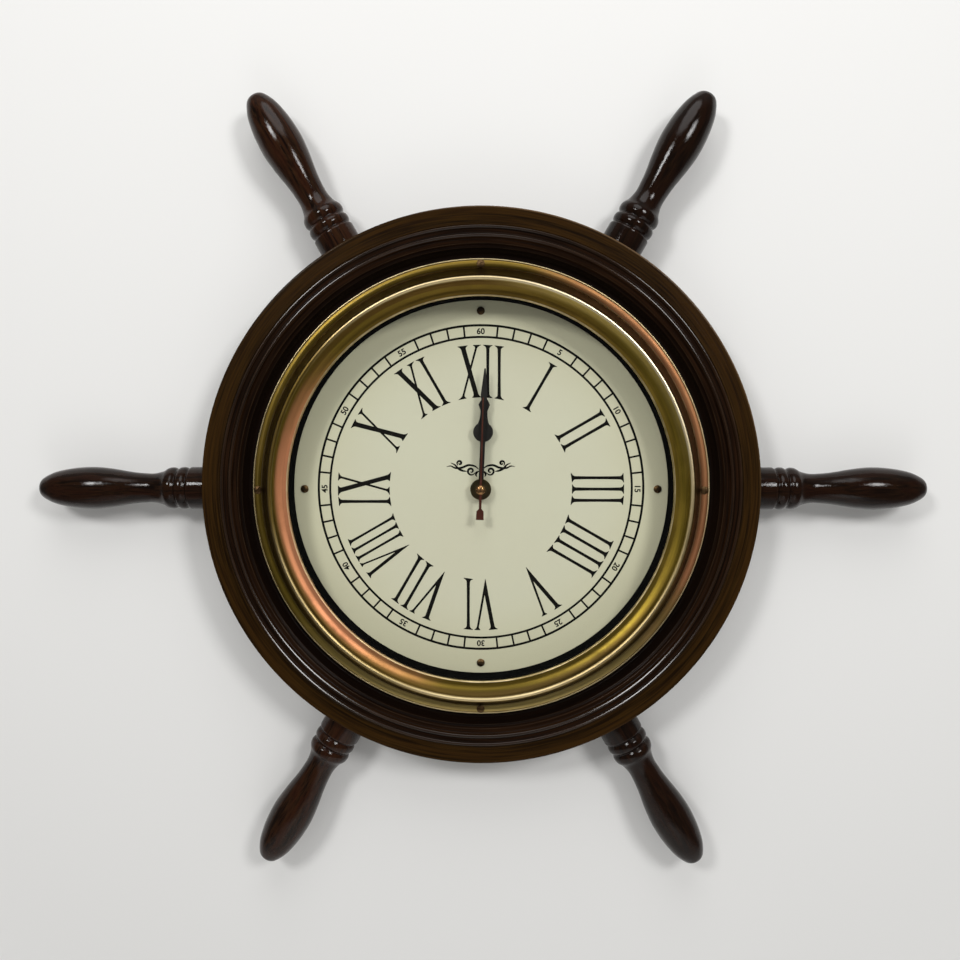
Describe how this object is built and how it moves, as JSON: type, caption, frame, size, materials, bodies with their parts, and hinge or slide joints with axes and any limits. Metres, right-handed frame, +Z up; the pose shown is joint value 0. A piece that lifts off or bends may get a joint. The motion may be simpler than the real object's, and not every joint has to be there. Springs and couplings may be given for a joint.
{
  "type": "ship wheel wall clock",
  "caption": "Wall clock in the form of a ship's wheel: turned wooden ring with radiating turned handles, brass bezel and glass over a Roman-numeral dial with a geared quartz movement.",
  "frame": {"origin": "on the hands' axis, at the middle of the clock's depth, which is the centre of its box", "axes": "+Z up to twelve o'clock, +X to the viewer's right, the dial faces -Y and the back faces the wall at +Y"},
  "size_m": [0.61, 0.054, 0.5338],
  "materials": {
    "wheel_wood": "dark walnut, satin lacquer",
    "handle_wood": "dark red-brown stain, gloss lacquer",
    "bezel_brass": "polished and lacquered",
    "screw_brass": "darkened by age",
    "glass": "clear and flat",
    "rubber": "matte black",
    "dial": "ivory paint with black print",
    "black_hand": "satin black",
    "red_hand": "satin dark red",
    "arbor_brass": "bright turned",
    "black_plastic": "moulded, fine texture",
    "white_plastic": "moulded acetal",
    "spring_steel": "bright nickel plate",
    "hanger_steel": "zinc plate",
    "coil_copper": "enamelled copper wire",
    "circuit_board": "green solder mask",
    "battery_jacket": "gloss film jacket"
  },
  "bodies": {
    "clock_body": {"wheel_ring": "wheel_wood", "handle_right": "handle_wood", "handle_upper_right": "handle_wood", "handle_upper_left": "handle_wood", "handle_left": "handle_wood", "handle_lower_left": "handle_wood", "handle_lower_right": "handle_wood", "bezel": "bezel_brass", "bezel_screw_right": "screw_brass", "bezel_screw_top": "screw_brass", "bezel_screw_left": "screw_brass", "bezel_screw_bottom": "screw_brass", "glass_gasket": "rubber", "glass": "glass", "dial_plate": "dial", "dial_screw_right": "screw_brass", "dial_screw_top": "screw_brass", "dial_screw_left": "screw_brass", "dial_screw_bottom": "screw_brass", "movement_seal": "rubber", "clamp_washer": "arbor_brass", "clamp_nut": "arbor_brass", "movement_case": "black_plastic", "movement_cover": "black_plastic", "battery": "battery_jacket", "battery_contact_plus": "spring_steel", "battery_contact_minus": "spring_steel", "stator": "spring_steel", "coil": "coil_copper", "circuit_board": "circuit_board", "hanger_plate": "hanger_steel", "hanger_screw_left": "screw_brass", "hanger_screw_right": "screw_brass"},
    "seconds": {"seconds_wheel": "white_plastic", "seconds_hand": "red_hand", "seconds_hand_cap": "arbor_brass"},
    "third": {"third_wheel": "white_plastic"},
    "centre": {"centre_wheel": "white_plastic"},
    "step": {"step_wheel": "white_plastic"},
    "motor_rotor": {"rotor": "spring_steel"},
    "minutes": {"minute_arbor": "arbor_brass", "minute_hand": "black_hand"},
    "minute_motion": {"minute_wheel": "white_plastic"},
    "hours": {"hour_wheel": "arbor_brass", "hour_hand": "black_hand"},
    "knob": {"setting_knob": "black_plastic"}
  },
  "joints": [
    {"name": "seconds_spin", "type": "hinge", "parent": "clock_body", "child": "seconds", "pos_m": [0, 0, 0], "axis": [0, 1, 0], "continuous": true},
    {"name": "third_spin", "type": "hinge", "parent": "clock_body", "child": "third", "pos_m": [-0.00799, 0, 0.00291], "axis": [0, 1, 0], "continuous": true},
    {"name": "centre_spin", "type": "hinge", "parent": "clock_body", "child": "centre", "pos_m": [0, 0, 0], "axis": [0, 1, 0], "continuous": true},
    {"name": "step_spin", "type": "hinge", "parent": "clock_body", "child": "step", "pos_m": [0, 0, 0.007], "axis": [0, 1, 0], "continuous": true},
    {"name": "rotor_spin", "type": "hinge", "parent": "clock_body", "child": "motor_rotor", "pos_m": [-0.0046, 0, 0.01086], "axis": [0, 1, 0], "continuous": true},
    {"name": "minute_spin", "type": "hinge", "parent": "clock_body", "child": "minutes", "pos_m": [0, 0, 0], "axis": [0, 1, 0], "continuous": true},
    {"name": "minute_wheel_spin", "type": "hinge", "parent": "clock_body", "child": "minute_motion", "pos_m": [0.00725, 0, 0.00338], "axis": [0, 1, 0], "continuous": true},
    {"name": "hour_spin", "type": "hinge", "parent": "clock_body", "child": "hours", "pos_m": [0, 0, 0], "axis": [0, 1, 0], "continuous": true},
    {"name": "knob_spin", "type": "hinge", "parent": "clock_body", "child": "knob", "pos_m": [0.0145, 0, 0.00676], "axis": [0, 1, 0], "continuous": true}
  ],
  "couplings": [
    {"joint": "third_spin", "follows": "seconds_spin", "ratio": -0.13333},
    {"joint": "centre_spin", "follows": "seconds_spin", "ratio": 0.016667},
    {"joint": "step_spin", "follows": "seconds_spin", "ratio": -6},
    {"joint": "rotor_spin", "follows": "seconds_spin", "ratio": 30},
    {"joint": "minute_wheel_spin", "follows": "minute_spin", "ratio": -0.33333},
    {"joint": "hour_spin", "follows": "minute_spin", "ratio": 0.083333},
    {"joint": "knob_spin", "follows": "minute_spin", "ratio": 1}
  ]
}
